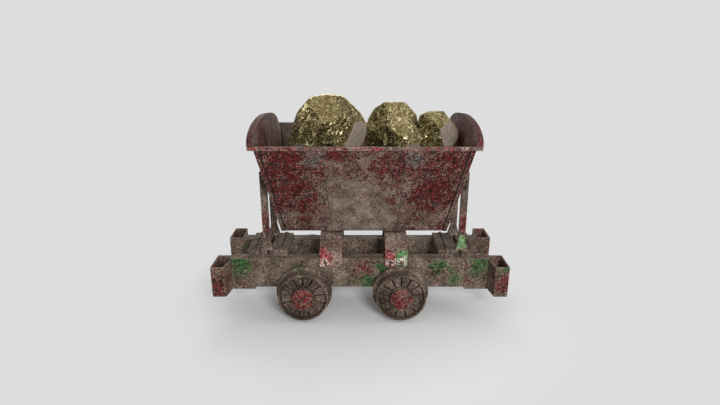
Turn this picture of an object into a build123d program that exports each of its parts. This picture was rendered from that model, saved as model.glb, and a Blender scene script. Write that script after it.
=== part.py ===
from build123d import *

import os
from math import atan, cos, pi, sin, sqrt

os.makedirs("parts", exist_ok=True)

# Side-tipping mine cart: a V-shaped skip hung on end trunnions over a two-axle frame.
# X runs along the cart, Y across it, Z up. z = 0 is the floor under the wheel flanges.
# All sizes are in millimetres.

# --- driving sizes --------------------------------------------------------------------------

# Wheelsets
flange_radius = 188
tread_radius = 166
flange_back_y = 264
flange_thickness = 24
tread_width = 74
rim_thickness = 11
disc_thickness = 22
disc_back = 52
hub_radius = 58
hub_length = 104
slot_count = 13
slot_width = 12
slot_inner_radius = 78
slot_outer_radius = 152
axle_radius = 27.5
wheel_seat_radius = 25
collar_radius = 38
collar_gap = 4
hub_cap_radius = 72
hub_cap_length = 26
tread_rise = 4
rim_draft = 2
hub_draft = 8
wheelbase = 652
wheelbase_shift = -52

# Frame
overall_length = 1950
sill_outer = 213
sill_height = 213
sill_flange = 78
sill_web = 10
sill_flange_thickness = 12
sill_drop = 8
buffer_length = 105
buffer_inner_y = 156
buffer_outer_y = 355
buffer_wall = 12
buffer_slant = 15
buffer_slant_y = 261
tongue_length = 156
tongue_thickness = 8
tongue_drop = 13
buffer_rivet_inset = 137
buffer_rivet_rises = (98, 33)
buffer_bolt_inset = 63
buffer_bolt_rises = (168, 139)

# Axle boxes
box_width = 114
box_length_y = 78
box_below = 50
box_above = 66
box_ear = 38
box_ear_thickness = 18
box_proud = 15
bush_wall = 8
running_clearance = 0.06
fitting_clearance = 1.0

# Saddles that span the sills under the skip
saddle_width = 150
saddle_seam = 3
saddle_thickness = 10
saddle_top_half = 96
saddle_shoulder_rise = 36
saddle_lap = 54
saddle_bend = 45
saddle_spacing = 442
saddle_shift = 24
saddle_clearance = 19

# End plates, posts and trunnion brackets
trunnion_reach = 51.66
skip_shift = 28
end_plate_half_y = 164
end_plate_height = 39
end_plate_skin = 8
end_plate_gap = 20
end_plate_gap_shift = 8
end_plate_reach_out = {-1: 138, 1: 104}
end_plate_reach_in = {-1: 140, 1: 154}
post_width = 44
post_depth = 30
post_rise = 82
post_foot_width = 82
post_foot_depth = 44
post_foot_height = 66
bracket_thickness = 40
bracket_height = 96
bracket_boss_radius = 58
bracket_bolt_bite = 15
edge_break = 2

# Skip
pivot_height = 918
skip_bottom = 567
skip_rim = 1225
skip_bottom_half_y = 100
skip_rim_half_y = 451
skip_bottom_half_x = 566
skip_rim_half_x = 651
sheet = 8
lap_width = 24
lap_proud = 8
lap_lip = 1
rim_height = 22
rim_reach_y = 13
rim_reach_x = 32
rim_end_thickness = 13
ear_height = 107
seam_width = 4
seam_depth = 1.5
seam_half_x_bottom = 220
seam_half_x_rim = 255
trunnion_radius = 25
trunnion_bush_wall = 9
trunnion_base_radius = 65
trunnion_base_depth = 15.66
trunnion_proud = 12

# Fasteners
bolt_radius = 8
bolt_head_radius = 14
bolt_head_height = 9
rivet_radius = 7
rivet_head_radius = 13
rivet_head_height = 6
small_bolt_radius = 6
small_bolt_head_radius = 10
small_bolt_head_height = 6

# Load
ore_gap = 2
ore_bed_depth = 325
ore_mound_depth = 205
ore_mound_end_left = 120
ore_mound_end_right = 60
ore_mound_foot_share = 0.91
ore_mound_top_share = 0.5
boulder_blank = 1.1

# --- sizes worked out from them -------------------------------------------------------------

axle_height = flange_radius
sill_bottom = axle_height + sill_drop
sill_top = sill_bottom + sill_height
sill_length = overall_length - 2 * buffer_length
sill_inner = sill_outer - sill_flange
wheel_x = [wheelbase_shift + side * wheelbase / 2 for side in (-1, 1)]
end_plate_top = sill_top + end_plate_height
buffer_rivet_x = overall_length / 2 - buffer_rivet_inset
buffer_rivet_heights = [sill_bottom + rise for rise in buffer_rivet_rises]
buffer_bolt_x = overall_length / 2 - buffer_bolt_inset
buffer_bolt_heights = [sill_bottom + rise for rise in buffer_bolt_rises]
saddle_top = skip_bottom - saddle_clearance
saddle_shoulder = sill_top + saddle_shoulder_rise
saddle_bottom = sill_top - saddle_lap
saddle_x = [saddle_shift + side * saddle_spacing / 2 for side in (-1, 1)]
post_outer_y = end_plate_half_y
post_y = post_outer_y - post_depth / 2
wall_slope = (skip_rim_half_y - skip_bottom_half_y) / (skip_rim - skip_bottom)
end_slope = (skip_rim_half_x - skip_bottom_half_x) / (skip_rim - skip_bottom)
end_angle = atan(end_slope)
end_at_pivot = skip_bottom_half_x + (pivot_height - skip_bottom) * end_slope
trunnion_x = end_at_pivot + trunnion_reach
trunnion_base_face = end_at_pivot + trunnion_base_depth
rim_half_x = skip_rim_half_x + rim_reach_x
rim_half_y = skip_rim_half_y + rim_reach_y
post_top = pivot_height + post_rise
sheet_y = sheet / cos(atan(wall_slope))
sheet_x = sheet / cos(end_angle)
bush_radius = axle_radius + bush_wall
trunnion_bush_radius = trunnion_radius + trunnion_bush_wall
bracket_face = trunnion_x - bracket_thickness / 2
bracket_back = trunnion_x + bracket_thickness / 2
trunnion_end = bracket_back + trunnion_proud
ore_bed_height = skip_rim - ore_bed_depth
ore_mound_height = skip_rim - ore_mound_depth

sides = (-1, 1)
end_names = {-1: "left", 1: "right"}
flank_names = {-1: "front", 1: "rear"}


def half_y(height):
    """Half width of the skip over its side sheets at a height."""
    return skip_bottom_half_y + (height - skip_bottom) * wall_slope


def half_x(height):
    """Half length of the skip over its end sheets at a height."""
    return skip_bottom_half_x + (height - skip_bottom) * end_slope


def save(piece, name):
    """Name one finished piece and write it to its own file."""
    piece.label = name
    export_step(piece, f"parts/{name}.step")


def along_x(side, near, far):
    """Start and length along X of what lies between two distances from the skip's middle."""
    ends = sorted((skip_shift + side * near, skip_shift + side * far))
    return ends[0], ends[1] - ends[0]


def tapered_block(sections):
    """Flat-sided solid between rectangles (x0, x1, y0, y1), each at its own height."""
    with BuildPart() as block:
        for height, (x0, x1, y0, y1) in sections:
            with BuildSketch(Plane.XY.offset(height)):
                with Locations(((x0 + x1) / 2, (y0 + y1) / 2)):
                    Rectangle(abs(x1 - x0), abs(y1 - y0))
        loft(ruled=True)
    return block.part


def end_plane(side):
    """Plane of a skip end sheet's outer face: +Z out of the skip, +Y up the slope."""
    return Plane(
        origin=(skip_shift + side * skip_bottom_half_x, 0, skip_bottom),
        x_dir=(0, side, 0),
        z_dir=(side * cos(end_angle), 0, -sin(end_angle)),
    )


def up_slope(height):
    """Distance up an end sheet's slope from the skip's bottom edge to a height."""
    return (height - skip_bottom) / cos(end_angle)


# --- sills ----------------------------------------------------------------------------------
# Two box-section beams, notched from below for the axle boxes and drilled for everything that
# is fixed to them.

end_bolt_x = {}
for side in sides:
    middle = skip_shift + side * trunnion_x
    for which, reach in (("outer", end_plate_reach_out[side]), ("inner", -end_plate_reach_in[side])):
        foot_edge = (post_foot_width / 2) * (1 if reach > 0 else -1)
        end_bolt_x[side, which] = middle + side * (reach + foot_edge) / 2
end_bolt_y = (sill_inner + end_plate_half_y - end_plate_skin) / 2
box_bolt_reach = box_width / 2 + box_ear / 2
box_bolt_y = sill_outer - sill_flange / 2
strap_width = (saddle_width - saddle_seam) / 2
strap_x = [x + s * (strap_width + saddle_seam) / 2 for x in saddle_x for s in sides]
saddle_rivet_height = (saddle_bottom + sill_top) / 2

for flank in sides:
    with BuildPart() as sill:
        with BuildSketch(Plane.YZ.offset(-sill_length / 2)):
            with Locations((flank * (sill_outer - sill_flange / 2), sill_bottom + sill_height / 2)):
                Rectangle(sill_flange, sill_height)
                Rectangle(
                    sill_flange - 2 * sill_web,
                    sill_height - 2 * sill_flange_thickness,
                    mode=Mode.SUBTRACT,
                )
        extrude(amount=sill_length)
        notch = box_width + 2 * fitting_clearance
        notch_top = axle_height + box_above + fitting_clearance
        with Locations(*[(x, flank * sill_outer, sill_bottom) for x in wheel_x]):
            Box(notch, 3 * sill_flange, 2 * (notch_top - sill_bottom), mode=Mode.SUBTRACT)
        with Locations(*[(x, flank * end_bolt_y, sill_top) for x in end_bolt_x.values()]):
            Cylinder(bolt_radius, 3 * sill_flange_thickness, mode=Mode.SUBTRACT)
        reach = [x + s * box_bolt_reach for x in wheel_x for s in sides]
        with Locations(*[(x, flank * box_bolt_y, sill_bottom) for x in reach]):
            Cylinder(bolt_radius, 3 * sill_flange_thickness, mode=Mode.SUBTRACT)
        rivets = [(s * buffer_rivet_x, z) for s in sides for z in buffer_rivet_heights]
        rivets += [(x, saddle_rivet_height) for x in strap_x]
        with Locations(*[Location((x, flank * sill_outer, z), (90, 0, 0)) for x, z in rivets]):
            Cylinder(rivet_radius, 3 * sill_web, mode=Mode.SUBTRACT)
    save(sill.part, f"sill_{flank_names[flank]}")

# --- buffers --------------------------------------------------------------------------------
# A cast box at each corner, open above and below, with a tongue that laps along the sill.

buffer_outer_x = overall_length / 2
buffer_inner_x = buffer_outer_x - buffer_length


def buffer_outline(inset, side, flank):
    """Plan of the box with its slanted inboard corner, drawn in by the wall's thickness."""
    points = (
        (buffer_inner_x + inset, buffer_inner_y + inset),
        (buffer_outer_x - inset, buffer_inner_y + inset),
        (buffer_outer_x - inset, buffer_outer_y - inset),
        (buffer_inner_x + buffer_slant + inset, buffer_outer_y - inset),
        (buffer_inner_x + inset, buffer_slant_y),
    )
    return [(side * x, flank * y) for x, y in points]


for side in sides:
    for flank in sides:
        with BuildPart() as buffer:
            with BuildSketch(Plane.XY.offset(sill_bottom)):
                with BuildLine():
                    Polyline(*buffer_outline(0, side, flank), close=True)
                make_face()
                with BuildLine():
                    Polyline(*buffer_outline(buffer_wall, side, flank), close=True)
                make_face(mode=Mode.SUBTRACT)
            extrude(amount=sill_height)
            tongue_x = side * (buffer_inner_x - tongue_length / 2 + buffer_wall / 2)
            tongue_y = flank * (sill_outer + tongue_thickness / 2)
            tongue_height = sill_height + tongue_drop
            with Locations((tongue_x, tongue_y, sill_top - tongue_height / 2)):
                Box(tongue_length + buffer_wall, tongue_thickness, tongue_height)
            tongue_holes = [(side * buffer_rivet_x, z) for z in buffer_rivet_heights]
            with Locations(*[Location((x, tongue_y, z), (90, 0, 0)) for x, z in tongue_holes]):
                Cylinder(rivet_radius, 3 * tongue_thickness, mode=Mode.SUBTRACT)
            wall_y = flank * (buffer_outer_y - buffer_wall / 2)
            wall_holes = [(side * buffer_bolt_x, z) for z in buffer_bolt_heights]
            with Locations(*[Location((x, wall_y, z), (90, 0, 0)) for x, z in wall_holes]):
                Cylinder(small_bolt_radius, 2 * buffer_wall, mode=Mode.SUBTRACT)
        save(buffer.part, f"buffer_{end_names[side]}_{flank_names[flank]}")


def headed_pin(at, turn, shank, grip, head, head_height, heads):
    """Bolt or rivet along its own axis, with a head on each listed end (-1, 1) of its grip."""
    with BuildPart() as pin:
        with Locations(Location(at, turn)):
            Cylinder(shank, grip)
            for end in heads:
                with Locations((0, 0, end * (grip + head_height) / 2)):
                    Cylinder(head, head_height)
    return pin.part


def pin_group(places, turn, shank, grip, head, head_height, name, heads=sides):
    """Write like fasteners as separate solids in one piece."""
    pins = [headed_pin(at, turn, shank, grip, head, head_height, heads) for at in places]
    save(Compound(children=pins), name)


across = (90, 0, 0)
upright = (0, 0, 0)

tongue_grip = tongue_thickness + sill_web
tongue_middle = sill_outer + tongue_thickness - tongue_grip / 2
pin_group(
    [
        (side * buffer_rivet_x, flank * tongue_middle, z)
        for side in sides
        for flank in sides
        for z in buffer_rivet_heights
    ],
    across, rivet_radius, tongue_grip, rivet_head_radius, rivet_head_height, "buffer_rivets",
)
pin_group(
    [
        (side * buffer_bolt_x, flank * (buffer_outer_y - buffer_wall / 2), z)
        for side in sides
        for flank in sides
        for z in buffer_bolt_heights
    ],
    across, small_bolt_radius, buffer_wall, small_bolt_head_radius, small_bolt_head_height,
    "buffer_bolts",
)

# --- saddles --------------------------------------------------------------------------------
# Each saddle is two bent straps side by side that arch over the sills and lap down their
# outer faces.

lap_outer = sill_outer + saddle_thickness
for end, x_middle in zip(("left", "right"), saddle_x):
    straps = []
    for s in sides:
        start = x_middle + s * (strap_width + saddle_seam) / 2 - strap_width / 2
        with BuildPart() as strap:
            with BuildSketch(Plane.YZ.offset(start)):
                with BuildLine():
                    FilletPolyline(
                        (-sill_outer, saddle_bottom),
                        (-sill_outer, saddle_shoulder),
                        (-saddle_top_half, saddle_top - saddle_thickness),
                        (saddle_top_half, saddle_top - saddle_thickness),
                        (sill_outer, saddle_shoulder),
                        (sill_outer, saddle_bottom),
                        radius=saddle_bend,
                    )
                    offset(amount=saddle_thickness, side=Side.LEFT)
                make_face()
            extrude(amount=strap_width)
            holes = [(start + strap_width / 2, flank * lap_outer) for flank in sides]
            with Locations(*[Location((x, y, saddle_rivet_height), across) for x, y in holes]):
                Cylinder(rivet_radius, 3 * saddle_thickness, mode=Mode.SUBTRACT)
        straps.append(strap.part)
    save(Compound(children=straps), f"saddle_{end}")

saddle_grip = saddle_thickness + sill_web
pin_group(
    [
        (x, flank * (lap_outer - saddle_grip / 2), saddle_rivet_height)
        for x in strap_x
        for flank in sides
    ],
    across, rivet_radius, saddle_grip, rivet_head_radius, rivet_head_height, "saddle_rivets",
)

# --- axle boxes and their bushes ------------------------------------------------------------
# Each box sits in a notch of its sill and bolts up to the bottom flange by two ears.

box_outer_y = sill_outer + box_proud
box_middle_y = box_outer_y - box_length_y / 2
bushes = []
for x_middle, end in zip(wheel_x, ("left", "right")):
    for flank in sides:
        with BuildPart() as axle_box:
            with Locations((x_middle, flank * box_middle_y, axle_height + (box_above - box_below) / 2)):
                Box(box_width, box_length_y, box_above + box_below)
            corners = axle_box.edges().filter_by(Axis.Y).group_by(Axis.Z)[0]
            fillet(corners, radius=box_below / 2)
            with Locations((x_middle, flank * box_middle_y, sill_bottom - box_ear_thickness / 2)):
                Box(box_width + 2 * box_ear, box_length_y, box_ear_thickness)
            bolt_x = [x_middle + s * box_bolt_reach for s in sides]
            with Locations(*[(x, flank * box_bolt_y, sill_bottom) for x in bolt_x]):
                Cylinder(bolt_radius, 3 * box_ear_thickness, mode=Mode.SUBTRACT)
            with Locations(Location((x_middle, flank * box_middle_y, axle_height), across)):
                Cylinder(bush_radius, 2 * box_length_y, mode=Mode.SUBTRACT)
        save(axle_box.part, f"axle_box_{end}_{flank_names[flank]}")
        with BuildPart() as bush:
            with Locations(Location((x_middle, flank * box_middle_y, axle_height), across)):
                Cylinder(bush_radius, box_length_y)
                Cylinder(axle_radius + running_clearance, box_length_y, mode=Mode.SUBTRACT)
        bushes.append(bush.part)
save(Compound(children=bushes), "axle_bushes")

box_grip = box_ear_thickness + sill_flange_thickness
pin_group(
    [
        (x + s * box_bolt_reach, flank * box_bolt_y, sill_bottom + sill_flange_thickness - box_grip / 2)
        for x in wheel_x
        for s in sides
        for flank in sides
    ],
    upright, bolt_radius, box_grip, bolt_head_radius, bolt_head_height, "axle_box_bolts",
)

# --- end plates -----------------------------------------------------------------------------
# Pressed pans across the sills, an outer and an inner one at each end, with a slot between
# them under the posts. Their bolts are screwed into the sills' top walls.

for side in sides:
    middle = skip_shift + side * trunnion_x
    gap_middle = middle - side * end_plate_gap_shift
    edges = {
        "outer": (middle + side * end_plate_reach_out[side], gap_middle + side * end_plate_gap / 2),
        "inner": (middle - side * end_plate_reach_in[side], gap_middle - side * end_plate_gap / 2),
    }
    for which, (edge, gap_edge) in edges.items():
        plate_middle = (edge + gap_edge) / 2
        plate_length = abs(edge - gap_edge)
        with BuildPart() as plate:
            with BuildSketch(Plane.XY.offset(sill_top)):
                with Locations((plate_middle, 0)):
                    Rectangle(plate_length, 2 * end_plate_half_y)
            extrude(amount=end_plate_height)
            chamfer(plate.edges().group_by(Axis.Z)[-1], length=edge_break)
            with BuildSketch(Plane.XY.offset(sill_top)):
                with Locations((plate_middle, 0)):
                    Rectangle(
                        plate_length - 2 * end_plate_skin,
                        2 * (end_plate_half_y - end_plate_skin),
                    )
            extrude(amount=end_plate_height - end_plate_skin, mode=Mode.SUBTRACT)
            bolt_x = end_bolt_x[side, which]
            with Locations(*[(bolt_x, flank * end_bolt_y, end_plate_top) for flank in sides]):
                Cylinder(bolt_radius, 3 * end_plate_skin, mode=Mode.SUBTRACT)
        save(plate.part, f"end_plate_{end_names[side]}_{which}")

plate_grip = end_plate_height + sill_flange_thickness
pin_group(
    [
        (x, flank * end_bolt_y, end_plate_top - plate_grip / 2)
        for x in end_bolt_x.values()
        for flank in sides
    ],
    upright, bolt_radius, plate_grip, bolt_head_radius, bolt_head_height, "end_plate_bolts",
    heads=(1,),
)

# --- posts ----------------------------------------------------------------------------------
# Two forged uprights at each end, with flared feet welded across the slot between the plates.

bracket_bolt_heights = [pivot_height + s * bracket_height / 4 for s in sides]
bracket_bolt_depth = post_depth + bracket_bolt_bite
for side in sides:
    middle = skip_shift + side * trunnion_x
    for flank in sides:
        foot_y = flank * (post_outer_y - post_foot_depth / 2)
        foot = (
            middle - post_foot_width / 2,
            middle + post_foot_width / 2,
            foot_y - post_foot_depth / 2,
            foot_y + post_foot_depth / 2,
        )
        shaft = (
            middle - post_width / 2,
            middle + post_width / 2,
            flank * post_y - post_depth / 2,
            flank * post_y + post_depth / 2,
        )
        foot_top = end_plate_top + post_foot_height
        flare = tapered_block(((end_plate_top, foot), (foot_top, shaft)))
        with BuildPart() as post:
            add(flare)
            with BuildSketch(Plane.XY.offset(foot_top)):
                with Locations((middle, flank * post_y)):
                    Rectangle(post_width, post_depth)
            extrude(amount=post_top - foot_top)
            chamfer(post.edges().group_by(Axis.Z)[-1], length=edge_break)
            places = [Location((middle, flank * post_y, z), across) for z in bracket_bolt_heights]
            with Locations(*places):
                Cylinder(bolt_radius, 2 * post_depth, mode=Mode.SUBTRACT)
        save(post.part, f"post_{end_names[side]}_{flank_names[flank]}")

# --- trunnion brackets and bushes -----------------------------------------------------------
# A bored cross-head bolted between each pair of posts.

bracket_half_y = post_outer_y - post_depth
trunnion_bushes = []
for side in sides:
    bracket_start, bracket_length = along_x(side, bracket_face, bracket_back)
    with BuildPart() as bracket:
        with BuildSketch(Plane.YZ.offset(bracket_start)):
            with Locations((0, pivot_height)):
                Rectangle(2 * bracket_half_y, bracket_height)
                Circle(bracket_boss_radius)
                Circle(trunnion_bush_radius, mode=Mode.SUBTRACT)
        extrude(amount=bracket_length)
        tapped = [
            Location((skip_shift + side * trunnion_x, flank * bracket_half_y, z), across)
            for flank in sides
            for z in bracket_bolt_heights
        ]
        with Locations(*tapped):
            Cylinder(bolt_radius, 2 * (bracket_bolt_depth - post_depth), mode=Mode.SUBTRACT)
    save(bracket.part, f"trunnion_bracket_{end_names[side]}")

    with BuildPart() as trunnion_bush:
        with BuildSketch(Plane.YZ.offset(bracket_start)):
            with Locations((0, pivot_height)):
                Circle(trunnion_bush_radius)
                Circle(trunnion_radius + running_clearance, mode=Mode.SUBTRACT)
        extrude(amount=bracket_length)
    trunnion_bushes.append(trunnion_bush.part)
save(Compound(children=trunnion_bushes), "trunnion_bushes")

bracket_bolts = []
for side in sides:
    for flank in sides:
        for z in bracket_bolt_heights:
            x = skip_shift + side * trunnion_x
            shank_middle = flank * (post_outer_y - bracket_bolt_depth / 2)
            head_middle = flank * (post_outer_y + bolt_head_height / 2)
            with BuildPart() as bracket_bolt:
                with Locations(Location((x, shank_middle, z), across)):
                    Cylinder(bolt_radius, bracket_bolt_depth)
                with Locations(Location((x, head_middle, z), across)):
                    Cylinder(bolt_head_radius, bolt_head_height)
            bracket_bolts.append(bracket_bolt.part)
save(Compound(children=bracket_bolts), "bracket_bolts")

# --- skip: floor and side sheets ------------------------------------------------------------


def side_sheet(flank, outer, inner, z0, z1, reach0, reach1):
    """Slab that follows a sloping side between two heights, as far as reach each way in X."""
    return tapered_block(
        [
            (
                z,
                (
                    skip_shift - reach,
                    skip_shift + reach,
                    flank * (half_y(z) + outer),
                    flank * (half_y(z) + inner),
                ),
            )
            for z, reach in ((z0, reach0), (z1, reach1))
        ]
    )


floor_top = skip_bottom + sheet
floor_sections = [
    (
        z,
        (
            skip_shift - half_x(z) + sheet_x,
            skip_shift + half_x(z) - sheet_x,
            -half_y(z) + sheet_y,
            half_y(z) - sheet_y,
        ),
    )
    for z in (skip_bottom, floor_top)
]
with BuildPart() as skip_floor:
    add(tapered_block(floor_sections))
save(skip_floor.part, "skip_floor")

for flank in sides:
    sheet_solid = side_sheet(
        flank, 0, -sheet_y, skip_bottom, skip_rim,
        half_x(skip_bottom) - sheet_x, half_x(skip_rim) - sheet_x,
    )
    with BuildPart() as skip_side:
        add(sheet_solid)
        for seam_side in sides:
            groove = tapered_block(
                [
                    (
                        z,
                        (
                            skip_shift + seam_side * x - seam_width / 2,
                            skip_shift + seam_side * x + seam_width / 2,
                            flank * (half_y(z) + seam_depth),
                            flank * (half_y(z) - seam_depth),
                        ),
                    )
                    for z, x in ((skip_bottom, seam_half_x_bottom), (skip_rim, seam_half_x_rim))
                ]
            )
            add(groove, mode=Mode.SUBTRACT)
    save(skip_side.part, f"skip_side_{flank_names[flank]}")

# --- skip: end sheets -----------------------------------------------------------------------
# Pressed ends with an arched top, whose edges are turned in to lap over the side sheets.

rim_bottom = skip_rim - rim_height
lap_top = rim_bottom - sheet * end_slope
for side in sides:
    outline = (
        (half_y(skip_bottom) + lap_proud / 2, up_slope(skip_bottom)),
        (half_y(lap_top) + lap_proud / 2, up_slope(lap_top)),
        (half_y(lap_top), up_slope(lap_top)),
        (half_y(skip_rim), up_slope(skip_rim)),
    )
    mirrored = [(-u, v) for u, v in reversed(outline)]
    laps = []
    for flank in sides:
        sections = []
        for z in (skip_bottom, lap_top):
            lap_outer_x = skip_shift + side * (half_x(z) + lap_lip)
            lap_inner_x = skip_shift + side * (half_x(z) - lap_width)
            lap_y = (flank * half_y(z), flank * (half_y(z) + lap_proud))
            sections.append((z, (lap_outer_x, lap_inner_x, *lap_y)))
        laps.append(tapered_block(sections))
    with BuildPart() as skip_end:
        with BuildSketch(end_plane(side)):
            with Locations((0, up_slope(skip_rim))):
                Ellipse(skip_rim_half_y, ear_height)
                below_rim = (Align.CENTER, Align.MAX)
                Rectangle(2 * rim_half_y, 2 * ear_height, align=below_rim, mode=Mode.SUBTRACT)
            with BuildLine():
                Polyline(*outline, *mirrored, close=True)
            make_face()
        extrude(amount=-sheet)
        for lap in laps:
            add(lap)
    save(skip_end.part, f"skip_end_{end_names[side]}")

    with BuildPart() as rim_end:
        with BuildSketch(end_plane(side)):
            with Locations((0, up_slope(skip_rim))):
                Ellipse(skip_rim_half_y + rim_end_thickness, ear_height + rim_end_thickness)
                Ellipse(skip_rim_half_y, ear_height, mode=Mode.SUBTRACT)
        extrude(amount=rim_half_x - skip_rim_half_x)
        with BuildSketch(end_plane(side)):
            with Locations((0, up_slope(skip_rim))):
                Ellipse(skip_rim_half_y + rim_end_thickness, ear_height + rim_end_thickness)
                Ellipse(skip_rim_half_y, ear_height, mode=Mode.SUBTRACT)
        extrude(amount=-sheet)
        split(bisect_by=Plane.XY.offset(skip_rim), keep=Keep.TOP)
    save(rim_end.part, f"rim_end_{end_names[side]}")

# --- skip: rims along the sides -------------------------------------------------------------

for flank in sides:
    rim_sections = [
        (z, (skip_shift - rim_half_x, skip_shift + rim_half_x, flank * half_y(z), flank * rim_half_y))
        for z in (rim_bottom, skip_rim)
    ]
    rim_bar = tapered_block(rim_sections)
    with BuildPart() as rim:
        add(rim_bar)
    save(rim.part, f"rim_{flank_names[flank]}")

# --- trunnions ------------------------------------------------------------------------------
# A turned pin on a round base that is cut to the slope of the end sheet and welded to it.

for side in sides:
    base_start, base_length = along_x(side, skip_bottom_half_x, trunnion_base_face)
    pin_start, pin_length = along_x(side, trunnion_base_face, trunnion_end)
    with BuildPart() as trunnion:
        with BuildSketch(Plane.YZ.offset(base_start)):
            with Locations((0, pivot_height)):
                Circle(trunnion_base_radius)
        extrude(amount=base_length)
        split(bisect_by=end_plane(side), keep=Keep.TOP)
        with BuildSketch(Plane.YZ.offset(pin_start)):
            with Locations((0, pivot_height)):
                Circle(trunnion_radius)
        extrude(amount=pin_length)
    save(trunnion.part, f"trunnion_{end_names[side]}")

# --- wheelsets ------------------------------------------------------------------------------
# Cast flanged wheels pressed on solid axles, outside the sills, with a cap on each hub.

tread_front_y = flange_back_y + flange_thickness + tread_width
hub_front_y = flange_back_y + hub_length
journal_end = box_outer_y + collar_gap
disc_y0 = flange_back_y + disc_back
disc_y1 = disc_y0 + disc_thickness
rim_inner_radius = tread_radius - rim_thickness
hub_cap_rise = hub_cap_length / 2

for x_middle, end in zip(wheel_x, ("left", "right")):
    with BuildPart() as axle:
        with Locations(Location((x_middle, 0, axle_height), across)):
            Cylinder(axle_radius, 2 * journal_end)
        for flank in sides:
            collar_length = flange_back_y - journal_end
            collar_middle = flank * (flange_back_y + journal_end) / 2
            with Locations(Location((x_middle, collar_middle, axle_height), across)):
                Cylinder(collar_radius, collar_length)
            seat_middle = flank * (flange_back_y + hub_front_y) / 2
            with Locations(Location((x_middle, seat_middle, axle_height), across)):
                Cylinder(wheel_seat_radius, hub_length)
    save(axle.part, f"axle_{end}")

    hub_caps = []
    for flank in sides:
        wheel_plane = Plane(origin=(x_middle, 0, axle_height), x_dir=(1, 0, 0), z_dir=(0, 0, 1))
        with BuildPart() as wheel:
            with BuildSketch(wheel_plane):
                with BuildLine():
                    Polyline(
                        (wheel_seat_radius, flank * flange_back_y),
                        (hub_radius, flank * flange_back_y),
                        (hub_radius, flank * disc_y0),
                        (rim_inner_radius, flank * disc_y0),
                        (rim_inner_radius, flank * flange_back_y),
                        (flange_radius, flank * flange_back_y),
                        (flange_radius, flank * (flange_back_y + flange_thickness / 2)),
                        (tread_radius + tread_rise, flank * (flange_back_y + flange_thickness)),
                        (tread_radius, flank * tread_front_y),
                        (rim_inner_radius, flank * tread_front_y),
                        (rim_inner_radius - rim_draft, flank * disc_y1),
                        (hub_radius + hub_draft, flank * disc_y1),
                        (hub_radius, flank * hub_front_y),
                        (wheel_seat_radius, flank * hub_front_y),
                        close=True,
                    )
                make_face()
            revolve(axis=Axis((x_middle, 0, axle_height), (0, 1, 0)))
            slot_middle = (slot_inner_radius + slot_outer_radius) / 2
            for turn in range(slot_count):
                angle = 360 * turn / slot_count
                place = Location((x_middle, flank * (disc_y0 + disc_y1) / 2, axle_height), (0, angle, 0))
                with Locations(place):
                    with Locations((0, 0, slot_middle)):
                        Box(
                            slot_width,
                            2 * disc_thickness,
                            slot_outer_radius - slot_inner_radius,
                            mode=Mode.SUBTRACT,
                        )
        save(wheel.part, f"wheel_{end}_{flank_names[flank]}")

        with BuildPart() as hub_cap:
            with BuildSketch(wheel_plane):
                with BuildLine():
                    Polyline(
                        (0, flank * hub_front_y),
                        (hub_cap_radius, flank * hub_front_y),
                        (hub_cap_radius, flank * (hub_front_y + hub_cap_rise)),
                        (hub_cap_radius / 2, flank * (hub_front_y + hub_cap_length)),
                        (0, flank * (hub_front_y + hub_cap_length)),
                        close=True,
                    )
                make_face()
            revolve(axis=Axis((x_middle, 0, axle_height), (0, 1, 0)))
        hub_caps.append(hub_cap.part)
    save(Compound(children=hub_caps), f"hub_caps_{end}")

# --- load -----------------------------------------------------------------------------------
# Fine ore fills the bottom of the skip and carries four boulders that stand above the rim.


def inside(z):
    """Rectangle of the skip's inside at a height, less the gap round the load."""
    x = half_x(z) - sheet_x - ore_gap
    y = half_y(z) - sheet_y - ore_gap
    return skip_shift - x, skip_shift + x, -y, y


bed = tapered_block([(z, inside(z)) for z in (floor_top, ore_bed_height)])
x_left, x_right, y_front, y_rear = inside(ore_bed_height)
mound_foot = (
    x_left + ore_mound_end_left,
    x_right - ore_mound_end_right,
    y_front * ore_mound_foot_share,
    y_rear * ore_mound_foot_share,
)
mound_top = (
    x_left + 2 * ore_mound_end_left,
    x_right - 2 * ore_mound_end_right,
    y_front * ore_mound_top_share,
    y_rear * ore_mound_top_share,
)
mound = tapered_block(((ore_bed_height, mound_foot), (ore_mound_height, mound_top)))
with BuildPart() as ore_bed:
    add(bed)
    add(mound)
save(ore_bed.part, "ore_bed")


def boulder(centre, radii, flats, twist):
    """Broken lump: flat faces laid on an ellipsoid at the golden angle, turned by twist."""
    golden = pi * (3 - sqrt(5))
    with BuildPart() as lump:
        with Locations(centre):
            Box(*[2 * boulder_blank * r for r in radii])
        for i in range(flats):
            nz = 1 - 2 * (i + 0.5) / flats
            ring = sqrt(1 - nz * nz)
            angle = golden * i + twist
            normal = (ring * cos(angle), ring * sin(angle), nz)
            reach = sqrt(sum((r * n) ** 2 for r, n in zip(radii, normal)))
            face_at = tuple(c + reach * n for c, n in zip(centre, normal))
            split(bisect_by=Plane(origin=face_at, z_dir=normal), keep=Keep.BOTTOM)
    return lump.part


# Distance in from the right rim, Y, height over the rim; half sizes; flats; twist in radians
boulders = {
    "boulder_large": ((898, -20, 33), (250, 215, 208), 30, 0.4),
    "boulder_middle": ((465, 92, 37), (150, 140, 152), 26, 1.3),
    "boulder_front": ((411, -176, -17), (112, 108, 116), 22, 2.2),
    "boulder_right": ((170, 6, 5), (139, 140, 136), 26, 0.2),
}
for name, ((inset, y, rise), radii, flats, twist) in boulders.items():
    centre = (skip_shift + skip_rim_half_x - inset, y, skip_rim + rise)
    save(boulder(centre, radii, flats, twist), name)
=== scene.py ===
from math import cos, pi, radians, sin

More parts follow.
